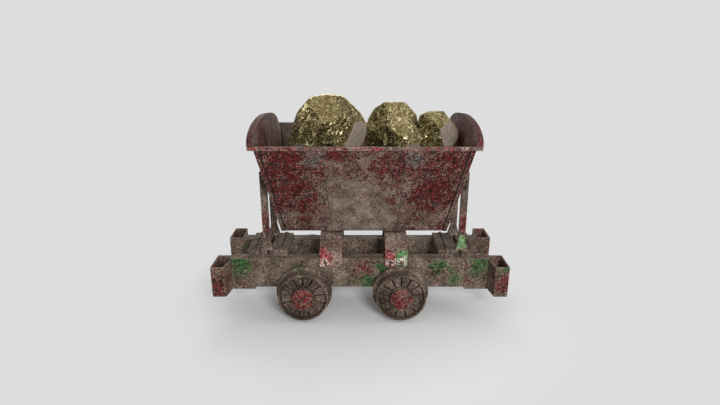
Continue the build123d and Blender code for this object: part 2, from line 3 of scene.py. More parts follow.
import bpy
import numpy as np
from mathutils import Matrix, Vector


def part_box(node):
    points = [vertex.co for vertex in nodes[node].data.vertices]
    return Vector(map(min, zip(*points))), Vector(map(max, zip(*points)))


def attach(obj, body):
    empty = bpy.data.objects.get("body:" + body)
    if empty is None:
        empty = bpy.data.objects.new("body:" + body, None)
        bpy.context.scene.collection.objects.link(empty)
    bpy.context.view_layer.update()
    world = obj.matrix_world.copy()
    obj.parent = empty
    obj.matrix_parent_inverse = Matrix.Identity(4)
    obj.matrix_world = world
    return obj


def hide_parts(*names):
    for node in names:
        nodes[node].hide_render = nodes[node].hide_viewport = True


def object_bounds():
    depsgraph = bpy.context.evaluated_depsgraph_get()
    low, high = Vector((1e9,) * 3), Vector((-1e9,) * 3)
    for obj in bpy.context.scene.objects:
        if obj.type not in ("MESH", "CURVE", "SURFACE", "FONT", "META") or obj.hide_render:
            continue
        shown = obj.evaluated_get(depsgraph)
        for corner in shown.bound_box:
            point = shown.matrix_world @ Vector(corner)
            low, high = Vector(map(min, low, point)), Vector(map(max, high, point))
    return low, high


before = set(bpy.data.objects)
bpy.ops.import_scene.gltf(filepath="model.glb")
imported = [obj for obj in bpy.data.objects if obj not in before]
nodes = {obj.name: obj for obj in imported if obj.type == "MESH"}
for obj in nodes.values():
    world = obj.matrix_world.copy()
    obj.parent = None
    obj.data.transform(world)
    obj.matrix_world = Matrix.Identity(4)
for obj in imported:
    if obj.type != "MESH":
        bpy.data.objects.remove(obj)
cad_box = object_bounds()
scene = bpy.context.scene

# --- studio ---------------------------------------------------------------------------------
# A pale floor under an even pale sky, one broad soft light in front and above, and weaker
# ones at the sides and behind. The camera stands 1.8 m up and looks down on the load.

scene.view_settings.view_transform = "Standard"


def linear(colour):
    """sRGB hex to linear RGBA: c / 12.92 below 0.04045, else ((c + 0.055) / 1.055) ** 2.4."""
    channels = [int(colour[i : i + 2], 16) / 255 for i in (1, 3, 5)]
    return [c / 12.92 if c <= 0.04045 else ((c + 0.055) / 1.055) ** 2.4 for c in channels] + [1]


def node(tree, kind, inputs=None, **settings):
    """Add a shader node: settings are its own, inputs are what its sockets take.

    An input is a value, an output socket, or a node, which stands for its first output.
    """
    made = tree.nodes.new("ShaderNode" + kind)
    for name, value in settings.items():
        setattr(made, name, value)
    for socket, value in (inputs or {}).items():
        if isinstance(value, bpy.types.Node):
            value = value.outputs[0]
        if isinstance(value, bpy.types.NodeSocket):
            tree.links.new(value, made.inputs[socket])
        else:
            made.inputs[socket].default_value = value
    return made


backdrop = linear("#dddddd")
fill_strength = 0.7
sky = bpy.data.worlds.new("studio_sky")
scene.world = sky
sky.use_nodes = True
sky.node_tree.nodes.clear()
seen = node(sky.node_tree, "Background", {"Color": backdrop, "Strength": 1.0})
fill = node(sky.node_tree, "Background", {"Color": linear("#ffffff"), "Strength": fill_strength})
ray = node(sky.node_tree, "LightPath")
sky_mix = node(sky.node_tree, "MixShader", {0: ray.outputs["Is Camera Ray"], 1: fill, 2: seen})
node(sky.node_tree, "OutputWorld", {"Surface": sky_mix})

# matt pale floor that thins out to nothing between two distances, so no horizon shows
floor_half = 1.8
thin_from, thin_to = 0.85, 1.55
floor_material = bpy.data.materials.new("matt_studio_floor")
floor_material.use_nodes = True
floor_tree = floor_material.node_tree
floor_tree.nodes.clear()
floor_at = node(floor_tree, "TexCoord").outputs["Object"]
floor_away = node(floor_tree, "VectorMath", {0: floor_at, 1: (0, 0, 0)}, operation="DISTANCE")
floor_thin = node(
    floor_tree,
    "MapRange",
    {"Value": floor_away.outputs["Value"], "From Min": thin_from, "From Max": thin_to},
    interpolation_type="SMOOTHSTEP",
)
floor_paint = node(floor_tree, "BsdfDiffuse", {"Color": linear("#c6c6c6")})
floor_clear = node(floor_tree, "BsdfTransparent")
floor_mix = node(floor_tree, "MixShader", {0: floor_thin, 1: floor_paint, 2: floor_clear})
node(floor_tree, "OutputMaterial", {"Surface": floor_mix})
floor_mesh = bpy.data.meshes.new("floor")
floor_mesh.from_pydata(
    [(x * floor_half, y * floor_half, 0) for x, y in ((-1, -1), (1, -1), (1, 1), (-1, 1))],
    [],
    [(0, 1, 2, 3)],
)
floor_mesh.materials.append(floor_material)
floor = bpy.data.objects.new("floor", floor_mesh)
scene.collection.objects.link(floor)


middle = (0.0, 0.0, 0.74)


def area_light(name, place, size, watts):
    """A square soft light at place that points at the middle of the cart."""
    lamp = bpy.data.lights.new(name, "AREA")
    lamp.shape = "SQUARE"
    lamp.size = size
    lamp.energy = watts
    made = bpy.data.objects.new(name, lamp)
    scene.collection.objects.link(made)
    made.location = place
    towards = np.array(middle) - np.array(place)
    made.rotation_euler = Vector(towards).to_track_quat("-Z", "Y").to_euler()


area_light("front_light", (1.4, -4.8, 2.6), 1.3, 240)
area_light("right_light", (4.5, -1.0, 3.0), 2.0, 55)
area_light("left_light", (-4.5, 0.0, 2.6), 2.2, 35)
area_light("back_light", (-0.6, 4.8, 3.8), 2.6, 110)

# metres from the point aimed at, above the middle of the cart, and how steeply it looks down
camera_aim_height = 0.738
camera_distance = 3.4076
camera_elevation = radians(18.19)
camera_data = bpy.data.cameras.new("camera")
camera_data.sensor_width = 36.0
camera_data.lens = 24.445
camera = bpy.data.objects.new("camera", camera_data)
scene.collection.objects.link(camera)
camera.location = (
    0.0,
    -camera_distance * cos(camera_elevation),
    camera_aim_height + camera_distance * sin(camera_elevation),
)
camera.rotation_euler = (pi / 2 - camera_elevation, 0, 0)
scene.camera = camera

# --- sills ----------------------------------------------------------------------------------
# Two box-section steel beams, painted once and now mostly bare: brown grime and rust with
# dark cracks, and flakes left of a green coat and a red one.

# sizes in metres: a drift of grime, a stain, a pit, a chip, and a field between two cracks.
# Real pits and chips are finer, and are drawn this coarse so that they show.
grime_drift = 0.11
stain_size = 0.022
pit_size = 0.007
chip_size = 0.009
crack_field = 0.026
# bare scaled steel is dull, and old oil paint on it a little less so
bare_rough = 0.8
paint_rough = 0.55
undercoat = linear("#a98a80")
crack_dirt = linear("#120d0b")
# colour of the darker seam lines and of the circles of painted shade
darkening_colour = linear("#15100d")
rubbed_metal = linear("#86786b")


def coat_left(tree, at, moved, cover, flake_size, spots):
    """How much of a coat is left, over a half where it shows.

    The sum of its cover, noise as coarse as its flakes (0.1 to 0.9), noise 6 times as coarse
    (-0.4 to 0.4), and its spots (x, y, z, radius, strength), each falling smoothly from its
    strength to 0 at its radius.
    """
    flake = node(
        tree,
        "TexNoise",
        {"Vector": moved, "Scale": 1 / flake_size, "Detail": 6.0, "Roughness": 0.78, "Distortion": 0.5},
    )
    flake = node(
        tree, "MapRange", {"Value": flake, "From Min": 0.3, "From Max": 0.7, "To Min": 0.1, "To Max": 0.9}
    )
    drift = node(
        tree, "TexNoise", {"Vector": moved, "Scale": 1 / (6 * flake_size), "Detail": 3.0, "Roughness": 0.6}
    )
    drift = node(tree, "MapRange", {"Value": drift, "To Min": -0.4, "To Max": 0.4})
    amount = node(tree, "Math", {0: drift, 1: cover}, operation="ADD")
    for x, y, z, radius, strength in spots:
        away = node(tree, "VectorMath", {0: at, 1: (x, y, z)}, operation="DISTANCE").outputs["Value"]
        spot = node(
            tree,
            "MapRange",
            {"Value": away, "From Min": radius, "From Max": 0.1 * radius, "To Min": 0.0, "To Max": strength},
            interpolation_type="SMOOTHSTEP",
        )
        amount = node(tree, "Math", {0: amount, 1: spot}, operation="ADD")
    return node(tree, "Math", {0: amount, 1: flake}, operation="ADD")


def flaked_coat(tree, moved, amount, tones, flake_size, below, pits):
    """Colour, height and roughness with a coat laid over those below.

    The coat shows where amount passes a half, and varies between its two tones. A thin band
    under a half shows the undercoat, and so do chips in the coat.
    """
    colour, height, rough = below
    mask = node(
        tree,
        "MapRange",
        {"Value": amount, "From Min": 0.5, "From Max": 0.55},
        interpolation_type="SMOOTHSTEP",
    )
    rim = node(
        tree,
        "MapRange",
        {"Value": amount, "From Min": 0.455, "From Max": 0.5},
        interpolation_type="SMOOTHSTEP",
    )
    rim = node(tree, "Math", {0: rim, 1: pits}, operation="MULTIPLY")
    edged = node(tree, "Mix", {0: rim, 6: colour, 7: undercoat}, data_type="RGBA")
    shade = node(
        tree,
        "TexNoise",
        {"Vector": moved, "Scale": 1 / (0.7 * flake_size), "Detail": 5.0, "Roughness": 0.75},
    )
    shade = node(tree, "MapRange", {"Value": shade, "From Min": 0.36, "From Max": 0.66})
    paint = node(tree, "Mix", {0: shade, 6: linear(tones[0]), 7: linear(tones[1])}, data_type="RGBA")
    chip = node(tree, "TexNoise", {"Vector": moved, "Scale": 1 / chip_size, "Detail": 3.0})
    chip = node(tree, "MapRange", {"Value": chip, "From Min": 0.60, "From Max": 0.70, "To Max": 0.6})
    paint = node(tree, "Mix", {0: chip, 6: paint.outputs[2], 7: undercoat}, data_type="RGBA")
    laid = node(tree, "Mix", {0: mask, 6: edged.outputs[2], 7: paint.outputs[2]}, data_type="RGBA")
    height = node(tree, "Math", {0: mask, 1: 0.4, 2: height}, operation="MULTIPLY_ADD")
    rough = node(tree, "Mix", {0: mask, 2: rough, 3: paint_rough})
    return laid.outputs[2], height, rough


def crack_net(tree, at, stains):
    """Lines between the cells of a wavering net, wide where the stains are thick."""
    waver = node(tree, "TexNoise", {"Vector": at, "Scale": 1 / (0.6 * crack_field), "Detail": 4.0})
    waver = node(tree, "VectorMath", {0: waver.outputs["Color"], 1: (0.5, 0.5, 0.5)}, operation="SUBTRACT")
    waver = node(tree, "VectorMath", {0: waver, "Scale": 1.6 * crack_field}, operation="SCALE")
    bent = node(tree, "VectorMath", {0: at, 1: waver}, operation="ADD")
    bent = node(tree, "VectorMath", {0: bent, 1: (0.8, 1.0, 1.5)}, operation="MULTIPLY")
    net = node(tree, "TexVoronoi", {"Vector": bent, "Scale": 1 / crack_field}, feature="DISTANCE_TO_EDGE")
    width = node(
        tree,
        "MapRange",
        {"Value": stains, "From Min": 0.44, "From Max": 0.58, "To Min": 0.04, "To Max": 0.40},
    )
    return node(
        tree,
        "MapRange",
        {"Value": net.outputs["Distance"], "From Min": width, "From Max": 0.0},
        interpolation_type="SMOOTHSTEP",
    )


def seam_darkening(tree, at, stains, middle, half_length, slope, half_width):
    """A darker line along two seams that lean apart, where |x - middle| is half_length + slope z."""
    apart = node(tree, "SeparateXYZ", {0: at})
    across = node(tree, "Math", {0: apart.outputs["X"], 1: middle}, operation="SUBTRACT")
    across = node(tree, "Math", {0: across}, operation="ABSOLUTE")
    run = node(tree, "Math", {0: apart.outputs["Z"], 1: slope, 2: half_length}, operation="MULTIPLY_ADD")
    across = node(tree, "Math", {0: across, 1: run}, operation="SUBTRACT")
    across = node(tree, "Math", {0: across}, operation="ABSOLUTE")
    wander = node(tree, "Math", {0: stains, 1: 1.6 * half_width}, operation="MULTIPLY")
    seam = node(tree, "MapRange", {"Value": across, "From Min": wander, "From Max": 0.2 * half_width})
    return node(tree, "Math", {0: seam, 1: 0.85}, operation="MULTIPLY")


def ring_shade(tree, at, centres, height, radius, half_width):
    """Painted shade along circles about Y, one round each centre in x, all at one height and radius."""
    flat_way = node(tree, "VectorMath", {0: at, 1: (1.0, 0.0, 1.0)}, operation="MULTIPLY")
    nearest = None
    for x in centres:
        far = node(tree, "VectorMath", {0: flat_way, 1: (x, 0.0, height)}, operation="DISTANCE")
        far = node(tree, "Math", {0: far.outputs["Value"], 1: radius}, operation="SUBTRACT")
        far = node(tree, "Math", {0: far}, operation="ABSOLUTE")
        if nearest is not None:
            far = node(tree, "Math", {0: nearest, 1: far}, operation="MINIMUM")
        nearest = far
    ring = node(tree, "MapRange", {"Value": nearest, "From Min": half_width, "From Max": 0.3 * half_width})
    return node(tree, "Math", {0: ring, 1: 0.8}, operation="MULTIPLY")


def worn_edge(tree, stains):
    """Where the normal rounded over 4 mm leaves the true one, in the stains' pattern."""
    rounded = node(tree, "Bevel", {"Radius": 0.004}, samples=4)
    flat = node(tree, "NewGeometry").outputs["True Normal"]
    turned = node(tree, "VectorMath", {0: rounded, 1: flat}, operation="DOT_PRODUCT").outputs["Value"]
    worn = node(tree, "MapRange", {"Value": turned, "From Min": 0.985, "From Max": 0.90})
    return node(tree, "Math", {0: worn, 1: stains}, operation="MULTIPLY")


def worn_paint(name, ground, coats, bare_cracks=0.6, darkened_seams=(), shaded_rings=()):
    """Old paint on rolled or cast steel: mottled, cracked, and bare where it has flaked.

    ground is four hex tones of the bare metal's grime, dark to light. Each coat is its dark and
    light hex, its even cover, flake size in metres, and the spots where more or less of it is
    left. bare_cracks is how dark the cracks stay where the first coat is gone. The last two give
    the sizes of darker seam lines and of circles of painted shade, for the functions above.
    """
    material = bpy.data.materials.new(name)
    material.use_nodes = True
    tree = material.node_tree
    tree.nodes.clear()
    at = node(tree, "TexCoord").outputs["Object"]

    cloud = node(tree, "TexNoise", {"Vector": at, "Scale": 1 / grime_drift, "Detail": 4.0, "Roughness": 0.6})
    stains = node(tree, "TexNoise", {"Vector": at, "Scale": 1 / stain_size, "Detail": 6.0, "Roughness": 0.7})
    pits = node(tree, "TexNoise", {"Vector": at, "Scale": 1 / pit_size, "Detail": 3.0, "Roughness": 0.65})
    tone = node(tree, "Math", {0: stains, 1: 1.3, 2: cloud}, operation="MULTIPLY_ADD")
    tone = node(tree, "Math", {0: tone, 1: pits}, operation="ADD")
    tone = node(tree, "MapRange", {"Value": tone, "From Min": 1.32, "From Max": 1.98})
    ramp = node(tree, "ValToRGB", {"Fac": tone})
    ramp.color_ramp.elements[0].color = linear(ground[0])
    ramp.color_ramp.elements[1].color = linear(ground[3])
    ramp.color_ramp.elements.new(0.36).color = linear(ground[1])
    ramp.color_ramp.elements.new(0.62).color = linear(ground[2])

    layers = (ramp, stains, bare_rough)
    cracked = bare_cracks
    for turn, (dark, light, cover, flake_size, spots) in enumerate(coats):
        moved = node(tree, "VectorMath", {0: at, 1: (3.1 * turn, 1.7 * turn, 0)}, operation="ADD")
        amount = coat_left(tree, at, moved, cover, flake_size, spots)
        layers = flaked_coat(tree, moved, amount, (dark, light), flake_size, layers, pits)
        if turn == 0:
            cracked = node(
                tree,
                "MapRange",
                {"Value": amount, "From Min": 0.34, "From Max": 0.50, "To Min": bare_cracks},
            )
    colour, height, rough = layers

    cracks = crack_net(tree, at, stains)
    cracks = node(tree, "Math", {0: cracks, 1: cracked}, operation="MULTIPLY")
    cracks = node(tree, "Math", {0: cracks, 1: 0.97}, operation="MULTIPLY")
    colour = node(tree, "Mix", {0: cracks, 6: colour, 7: crack_dirt}, data_type="RGBA").outputs[2]
    height = node(tree, "Math", {0: cracks, 1: -0.6, 2: height}, operation="MULTIPLY_ADD")
    # darker seam lines and circles of painted shade, both in one dark colour
    darkenings = [seam_darkening(tree, at, stains, *line) for line in darkened_seams]
    darkenings += [ring_shade(tree, at, *ring) for ring in shaded_rings]
    for darkening in darkenings:
        colour = node(tree, "Mix", {0: darkening, 6: colour, 7: darkening_colour}, data_type="RGBA").outputs[2]
    rubbed = worn_edge(tree, stains)
    colour = node(tree, "Mix", {0: rubbed, 6: colour, 7: rubbed_metal}, data_type="RGBA").outputs[2]

    # 3 mm of relief: lifted paint over sunken cracks, with a weak gloss under the dust
    bump = node(tree, "Bump", {"Height": height, "Strength": 0.5, "Distance": 0.003})
    shader = node(
        tree,
        "BsdfPrincipled",
        {"Base Color": colour, "Normal": bump, "Roughness": rough, "Specular IOR Level": 0.12},
    )
    node(tree, "OutputMaterial", {"Surface": shader})
    return material


def dress(name, material, width=0.0015):
    """Give a CAD piece its finish, and round its edges by a width in metres, 0 for none."""
    piece = nodes[name]
    piece.data.materials.clear()
    piece.data.materials.append(material)
    # a CAD mesh is loose triangles, so its points are joined before its edges are found
    if width:
        weld = piece.modifiers.new("weld", "WELD")
        weld.merge_threshold = 1e-5
        bevel = piece.modifiers.new("edges", "BEVEL")
        bevel.width = width
        bevel.segments = 2
        bevel.limit_method = "ANGLE"
        bevel.angle_limit = radians(35)


# hot-rolled steel under brushed oil paint: dull brown grime, with small flakes of two colours
grime = ("#2a221b", "#57493f", "#7a6b5e", "#9c8d7e")
green_coat = ("#16331a", "#3c6b38")
red_coat = ("#43100f", "#6f2120")
sill_material = worn_paint(
    "flaked_paint_on_box_beam",
    grime,
    [
        (*red_coat, -0.20, 0.013, [(0.05, -0.22, 0.36, 0.12, 0.25), (0.53, -0.22, 0.30, 0.10, 0.3)]),
        (
            *green_coat,
            -0.20,
            0.012,
            [
                (-0.43, -0.22, 0.30, 0.11, 0.40),
                (0.06, -0.22, 0.24, 0.10, 0.40),
                (0.15, -0.22, 0.34, 0.09, 0.34),
                (0.54, -0.22, 0.34, 0.11, 0.38),
                (0.64, -0.22, 0.25, 0.10, 0.30),
                (-0.82, 0.135, 0.33, 0.10, 0.30),
            ],
        ),
    ],
)
for name in ("sill_front", "sill_rear"):
    dress(name, sill_material)

# --- buffers --------------------------------------------------------------------------------
# Cast boxes at the corners with a tongue along the sill. Red on the faces that take the
# knocks, green where the tongue lies.

# sand-cast steel, knocked: the same grime with more red left at the corners
buffer_material = worn_paint(
    "flaked_paint_on_cast_buffer",
    grime,
    [
        (
            *red_coat,
            -0.10,
            0.013,
            [(sx * 0.96, sy * 0.30, 0.30, 0.15, 0.30) for sx in (-1, 1) for sy in (-1, 1)],
        ),
        (
            *green_coat,
            -0.22,
            0.012,
            [(sx * 0.80, sy * 0.22, 0.37, 0.13, 0.44) for sx in (-1, 1) for sy in (-1, 1)]
            + [(0.96, -0.35, 0.40, 0.05, 0.4)],
        ),
    ],
)
for end in ("left", "right"):
    for flank in ("front", "rear"):
        dress(f"buffer_{end}_{flank}", buffer_material, 0.003)

# --- saddles --------------------------------------------------------------------------------
# Bent strap pairs under the skip. Their outer legs carry a red coat, and green on one strap, with a
# painted highlight low on each leg: red lightened to pink, green to pale green, and white flakes.

# bent strap steel: paler than the beams, with fresh-looking paint, lightened and flecked white as a painted
# highlight
saddle_material = worn_paint(
    "flaked_paint_and_painted_highlight_on_strap_steel",
    ("#342a24", "#66584e", "#8a7c70", "#a99b8e"),
    [
        (
            "#7a1f22",
            # pink light tone: the red lightened as a painted highlight
            "#b4585a",
            -0.16,
            0.009,
            [
                (-0.250, -0.23, 0.375, 0.085, 0.42),
                (-0.250, -0.23, 0.435, 0.085, 0.40),
                (0.195, -0.23, 0.375, 0.080, 0.42),
                (0.195, -0.23, 0.435, 0.075, 0.36),
            ],
        ),
        (
            "#1c4a22",
            # pale green light tone: the green lightened as a painted highlight
            "#4f9a4c",
            -0.30,
            0.009,
            [(0.285, -0.23, 0.375, 0.085, 0.60), (0.285, -0.23, 0.435, 0.080, 0.55)],
        ),
        (
            # white flakes low on the outer legs: a painted highlight
            "#c9b3a8",
            "#f2ece2",
            -0.34,
            0.008,
            [
                (-0.250, -0.23, 0.370, 0.095, 0.36),
                (0.195, -0.23, 0.375, 0.085, 0.32),
                (0.290, -0.23, 0.390, 0.095, 0.42),
            ],
        ),
    ],
)
for end in ("left", "right"):
    dress(f"saddle_{end}", saddle_material)

# --- axle boxes -----------------------------------------------------------------------------
# Plain grey-iron castings, black with old grease, with bronze bushes that show only as a ring.

# grey iron under old grease: nearly black, with a little brown where it is dry
casting = worn_paint("greasy_cast_iron", ("#120f0d", "#2b2520", "#453b33", "#64584d"), [])
for end in ("left", "right"):
    for flank in ("front", "rear"):
        dress(f"axle_box_{end}_{flank}", casting, 0.003)


# metres: tool marks, drawn coarser than the real ones so that they show, and oil stains
mark_size = 0.004
cloud_size = 0.03


def turned_metal(name, dark, light, rough):
    """Dull turned metal: two tones mixed by fine tool marks and by oil stains."""
    material = bpy.data.materials.new(name)
    material.use_nodes = True
    tree = material.node_tree
    tree.nodes.clear()
    at = node(tree, "TexCoord").outputs["Object"]
    streaks = node(tree, "TexNoise", {"Vector": at, "Scale": 1 / mark_size, "Detail": 4.0, "Roughness": 0.6})
    stain = node(tree, "TexNoise", {"Vector": at, "Scale": 1 / cloud_size, "Detail": 4.0})
    both = node(tree, "Math", {0: streaks, 1: stain}, operation="ADD")
    both = node(tree, "MapRange", {"Value": both, "From Min": 0.8, "From Max": 1.2})
    colour = node(tree, "Mix", {0: both, 6: linear(dark), 7: linear(light)}, data_type="RGBA")
    bump = node(tree, "Bump", {"Height": streaks, "Strength": 0.2, "Distance": 0.001})
    shader = node(
        tree,
        "BsdfPrincipled",
        {"Base Color": colour.outputs[2], "Metallic": 0.9, "Roughness": rough, "Normal": bump},
    )
    node(tree, "OutputMaterial", {"Surface": shader})
    return material


# bearing bronze and plain turned steel, both dull: soft wide highlights broken by fine rings
bronze = turned_metal("dull_bearing_bronze", "#5c4322", "#9a7a42", 0.45)
steel = turned_metal("dull_turned_steel", "#3a3632", "#77716a", 0.42)
for name in ("axle_bushes", "trunnion_bushes"):
    dress(name, bronze, 0)
for name in ("axle_left", "axle_right", "trunnion_left", "trunnion_right"):
    dress(name, steel, 0.001)

# --- end plates -----------------------------------------------------------------------------
# Pressed pans over the sills at each end, trodden and dirty, with little paint left.

# pressed plate: dark trodden dirt, with a trace of each coat
plate_material = worn_paint(
    "worn_paint_on_pressed_plate",
    ("#1f1a16", "#473d35", "#6b5f54", "#93867a"),
    [(*red_coat, -0.18, 0.012, []), (*green_coat, -0.24, 0.012, [(-0.78, 0.10, 0.44, 0.12, 0.25)])],
)
for end in ("left", "right"):
    for lie in ("outer", "inner"):
        dress(f"end_plate_{end}_{lie}", plate_material)

# --- posts and trunnion brackets ------------------------------------------------------------
# Forged uprights and bored cross-heads that carry the skip, red paint worn to brown metal.

# drop-forged steel: brown scale, red at mid height, and green at one foot lightened to pale green as a
# painted highlight
post_material = worn_paint(
    "worn_paint_and_painted_highlight_on_forged_post",
    ("#2a211c", "#5a4c42", "#807164", "#9e9083"),
    [
        (*red_coat, -0.16, 0.012, [(-0.64, -0.15, 0.66, 0.12, 0.35), (0.70, -0.15, 0.64, 0.12, 0.35)]),
        # green at the right front post's foot, its light tone pale as a painted highlight
        ("#23552a", "#8fb684", -0.28, 0.010, [(0.70, -0.16, 0.50, 0.09, 0.5)]),
    ],
)
for end in ("left", "right"):
    dress(f"trunnion_bracket_{end}", casting, 0.002)
    for flank in ("front", "rear"):
        dress(f"post_{end}_{flank}", post_material, 0.002)

# --- skip sheets ----------------------------------------------------------------------------
# Pressed sheet, deep red paint flaked off grey-brown metal. The middle panel and the bottom of
# each side are rubbed bare by the ore that slides out, and the ends keep most of their red.

# cold-pressed sheet: smooth enough that cracks stay in the paint and hardly mark the metal
skip_material = worn_paint(
    "flaked_red_paint_and_seam_shade_on_sheet",
    ("#3a2e27", "#63554b", "#7c6e62", "#93857a"),
    [
        (
            "#2c0609",
            "#6c1618",
            0.0,
            0.011,
            [
                (-0.46, -0.42, 1.10, 0.30, 0.20),
                (-0.42, -0.28, 0.85, 0.24, 0.16),
                (-0.12, -0.43, 1.17, 0.10, 0.16),
                (0.20, -0.42, 1.10, 0.20, 0.16),
                (0.55, -0.43, 1.12, 0.26, 0.20),
                (0.46, -0.30, 0.88, 0.26, 0.18),
                (-0.04, -0.27, 0.86, 0.28, -0.16),
                (0.00, -0.14, 0.60, 0.34, -0.20),
                (-0.52, 0.43, 1.20, 0.26, -0.40),
                (-0.30, 0.34, 0.95, 0.26, 0.20),
                (0.46, 0.35, 1.00, 0.30, 0.20),
                (-0.62, 0.0, 1.00, 0.40, 0.08),
                (0.68, 0.0, 1.00, 0.40, 0.08),
                (-0.64, -0.18, 1.24, 0.20, 0.22),
                (0.66, 0.0, 1.30, 0.34, 0.16),
            ],
        ),
        (
            "#3e3d3c",
            "#676461",
            -0.30,
            0.014,
            [(-0.28, -0.42, 1.12, 0.12, 0.36), (0.34, -0.42, 1.12, 0.12, 0.38)],
        ),
    ],
    bare_cracks=0.22,
    # the first pair is painted shade at the step where each end sheet's flange laps the side sheets; the
    # second is a darker line along two seams nearer the middle
    darkened_seams=[
        (0.028, 0.464, 0.1292, 0.010),
        (0.028, 0.190, 0.0532, 0.005),
    ],
)
for name in ("skip_floor", "skip_side_front", "skip_side_rear", "skip_end_left", "skip_end_right"):
    dress(name, skip_material, 0.001)

# --- rims -----------------------------------------------------------------------------------
# Flat bars and turned lips round the skip's mouth, rubbed through to bare metal on the edge.

# rolled bar: hand-sized patches of red, rubbed pale along the top
rim_material = worn_paint(
    "rubbed_red_paint_on_bar",
    ("#2b201c", "#5b4c43", "#7f7066", "#a5978b"),
    [("#5d1619", "#9c3a3d", -0.05, 0.028, []), ("#a87672", "#d6b6ae", -0.32, 0.010, [])],
)
# turned lip: dark dull red that hides most of the metal
lip_material = worn_paint(
    "dull_red_paint_on_turned_lip",
    ("#15100f", "#34241f", "#503d36", "#75645b"),
    [("#380b0d", "#6f2126", 0.05, 0.012, [])],
)
for flank in ("front", "rear"):
    dress(f"rim_{flank}", rim_material)
for end in ("left", "right"):
    dress(f"rim_end_{end}", lip_material)

# --- wheelsets ------------------------------------------------------------------------------
# Cast wheels with slotted discs, brown with grime, and red hub caps.

# chilled cast iron: brake dust and mud, with painted shade in circles in the corners beside rim and hub
wheel_material = worn_paint(
    "grimy_cast_wheel_with_ring_shade",
    ("#15100d", "#41362e", "#6d5d52", "#968678"),
    [
        (*red_coat, -0.16, 0.011, []),
        (*green_coat, -0.24, 0.011, [(-0.38, -0.3, 0.34, 0.08, 0.25), (0.27, -0.3, 0.34, 0.08, 0.25)]),
    ],
    # painted shade in a circle in the corner beside the rim and another beside the hub, round each axle
    shaded_rings=[((-0.378, 0.274), 0.188, 0.150, 0.007), ((-0.378, 0.274), 0.188, 0.074, 0.007)],
)
# pressed cap: red paint, half of it gone
cap_material = worn_paint(
    "worn_red_hub_paint",
    ("#241a16", "#54463d", "#7b6b60", "#9a8b7f"),
    [("#450d0e", "#842425", 0.05, 0.014, [])],
)
for end in ("left", "right"):
    for flank in ("front", "rear"):
        dress(f"wheel_{end}_{flank}", wheel_material, 0.002)
    dress(f"hub_caps_{end}", cap_material, 0.002)

# --- fasteners ------------------------------------------------------------------------------
# Rivet and bolt heads, the same grime as what they hold.

# forged heads: rust and grime, never painted
head_material = worn_paint("rusty_forged_heads", ("#1a1411", "#42362e", "#645549", "#857668"), [])
for name in (
    "buffer_rivets", "buffer_bolts", "saddle_rivets", "axle_box_bolts", "end_plate_bolts", "bracket_bolts",
):
    dress(name, head_material, 0.002)

# --- ore bed --------------------------------------------------------------------------------
# Fine broken ore in the bottom of the skip: angular stones of 20 to 60 mm heaped on a bed,
# which slopes down to the skip's sides and ends.

# crushed vein rock: grey-brown and dusty, with a few yellow grains
ore_material = worn_paint(
    "broken_grey_ore",
    ("#1c1712", "#453d33", "#6b6154", "#8f8577"),
    [("#4d3f1c", "#9a8549", -0.16, 0.016, [])],
)
dress("ore_bed", ore_material, 0)


def add_piece(name, points, faces, material, body):
    """New mesh piece in the shared frame: points (n, 3), faces as index lists of 3 or 4."""
    mesh = bpy.data.meshes.new(name)
    mesh.from_pydata(points.tolist(), [], faces.tolist())
    mesh.materials.append(material)
    mesh.update()
    piece = bpy.data.objects.new(name, mesh)
    scene.collection.objects.link(piece)
    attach(piece, body)
    return piece


def globe(rings, spokes):
    """Unit directions on rings of latitude with one point at each pole, and their faces.

    Point (i, j) is (sin a cos b, sin a sin b, cos a), a = pi i / rings, b = 2 pi j / spokes.
    """
    a = pi * np.arange(1, rings)[:, None] / rings
    b = 2 * pi * np.arange(spokes)[None, :] / spokes
    body = np.stack([np.sin(a) * np.cos(b), np.sin(a) * np.sin(b), np.cos(a) + 0 * b], axis=-1)
    points = np.vstack([[(0, 0, 1)], body.reshape(-1, 3), [(0, 0, -1)]])
    j = np.arange(spokes)
    after = (j + 1) % spokes
    i = np.arange(rings - 2)[:, None] * spokes + 1
    quads = np.stack([i + j, i + spokes + j, i + spokes + after, i + after], axis=-1).reshape(-1, 4)
    last = len(points) - 1
    foot = last - spokes
    top = np.stack([0 * j, 1 + j, 1 + after, 1 + after], axis=-1)
    base = np.stack([foot + j, 0 * j + last, foot + after, foot + after], axis=-1)
    return points, quads, top[:, :3], base[:, :3]


stone_seed = np.random.default_rng(41)
bed_low, bed_high = (np.array(corner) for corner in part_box("ore_bed"))
stone_count = 900
stone_least, stone_most = 0.012, 0.030
end_gap, side_gap = 0.045, 0.040
# metres: the bed's level at its foot, half its width there, and how far in each slope runs
bed_level = 0.900
foot_half = 0.243
side_slope, left_slope, right_slope = 0.11, 0.12, 0.06

unit, stone_quads, stone_top, stone_base = globe(4, 7)
spot = stone_seed.uniform(-1, 1, (stone_count, 2))
size = stone_seed.uniform(stone_least, stone_most, stone_count)
half_length = (bed_high[0] - bed_low[0]) / 2 - end_gap
half_width = (bed_high[1] - bed_low[1]) / 2 - side_gap
stone_x = (bed_high[0] + bed_low[0]) / 2 + spot[:, 0] * half_length
stone_y = spot[:, 1] * half_width
from_side = np.clip((foot_half - np.abs(stone_y)) / side_slope, 0, 1)
from_left = np.clip((stone_x - bed_low[0] - left_slope) / left_slope, 0, 1)
from_right = np.clip((bed_high[0] - right_slope - stone_x) / right_slope, 0, 1)
mound = np.minimum(from_side, np.minimum(from_left, from_right))
stone_z = bed_level + (bed_high[2] - bed_level) * mound
lumpy = stone_seed.uniform(0.72, 1.15, (stone_count, len(unit), 1))
squeeze = stone_seed.uniform(0.65, 1.2, (stone_count, 1, 3))
stones = unit[None] * lumpy * squeeze * size[:, None, None]
stones += np.stack([stone_x, stone_y, stone_z], axis=-1)[:, None, :]
